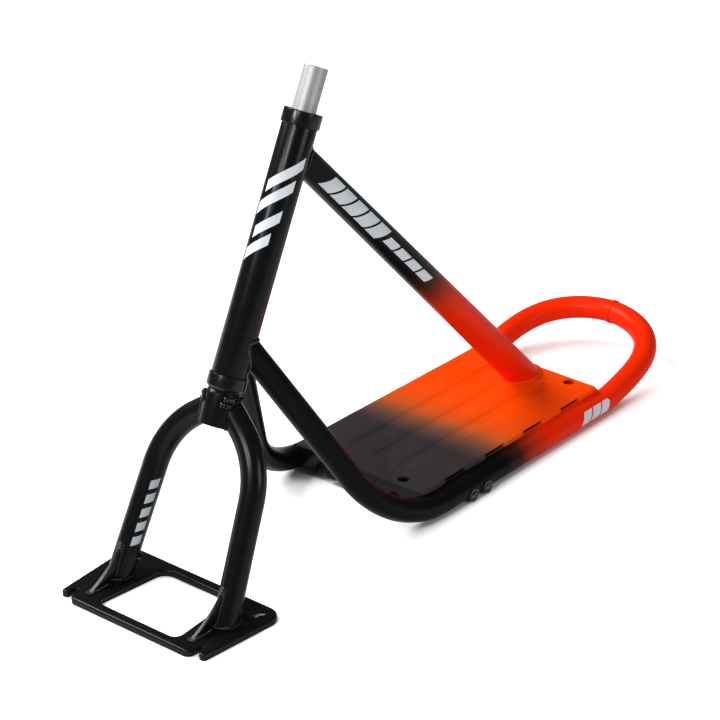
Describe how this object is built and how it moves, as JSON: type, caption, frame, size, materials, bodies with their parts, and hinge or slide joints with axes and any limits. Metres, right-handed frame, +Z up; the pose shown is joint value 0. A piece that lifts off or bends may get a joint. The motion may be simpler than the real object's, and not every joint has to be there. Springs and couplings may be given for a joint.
{
  "type": "snowscoot",
  "caption": "Tubular snow scooter frame kit: fork on a windowed base plate, leaning steering head, and side tubes with a pressed foot deck that close in a raised rear hoop.",
  "frame": {"origin": "on the floor, under the middle of the object's length and width", "axes": "+X forward, +Y to the rider's left, +Z up; the steering axis leans back 25.5 degrees from +Z"},
  "size_m": [0.9642, 0.2416, 0.5898],
  "materials": {
    "black_paint": "satin black powder coat",
    "fade_paint": "satin powder coat that fades from black in front to orange red at the back",
    "bare_aluminium": "brushed bare aluminium",
    "black_anodised": "black anodised, turned",
    "bearing_steel": "ground bearing steel",
    "cage_brass": "pressed brass retainer with steel balls"
  },
  "bodies": {
    "frame": {"head_tube": "black_paint", "upper_cup": "black_anodised", "lower_cup": "black_anodised", "upper_bearing_outer_race": "bearing_steel", "lower_bearing_outer_race": "bearing_steel", "top_tube": "fade_paint", "left_side_tube": "fade_paint", "right_side_tube": "fade_paint", "hoop_joiner": "fade_paint", "deck": "fade_paint", "front_cross_plate": "black_paint", "rear_cross_plate": "fade_paint", "left_front_boss": "black_paint", "left_rear_boss": "black_paint", "right_front_boss": "black_paint", "right_rear_boss": "black_paint"},
    "fork": {"steerer_tube": "bare_aluminium", "crown_tube": "black_paint", "left_fork_leg": "black_paint", "right_fork_leg": "black_paint", "left_gusset": "black_paint", "right_gusset": "black_paint", "base_plate": "black_paint", "crown_race": "black_anodised", "lower_bearing_inner_race": "bearing_steel", "upper_bearing_inner_race": "bearing_steel", "compression_ring": "bare_aluminium", "bearing_cover": "black_anodised"},
    "lower_balls": {"lower_ball_cage": "cage_brass"},
    "upper_balls": {"upper_ball_cage": "cage_brass"}
  },
  "joints": [
    {"name": "steering", "type": "hinge", "parent": "frame", "child": "fork", "pos_m": [0.42465, 0, 0], "axis": [-0.4305, 0, 0.9026], "continuous": true},
    {"name": "lower_balls_roll", "type": "hinge", "parent": "frame", "child": "lower_balls", "pos_m": [0.42465, 0, 0], "axis": [-0.4305, 0, 0.9026], "continuous": true},
    {"name": "upper_balls_roll", "type": "hinge", "parent": "frame", "child": "upper_balls", "pos_m": [0.42465, 0, 0], "axis": [-0.4305, 0, 0.9026], "continuous": true}
  ],
  "couplings": [
    {"joint": "lower_balls_roll", "follows": "steering", "ratio": 0.46},
    {"joint": "upper_balls_roll", "follows": "steering", "ratio": 0.46}
  ]
}
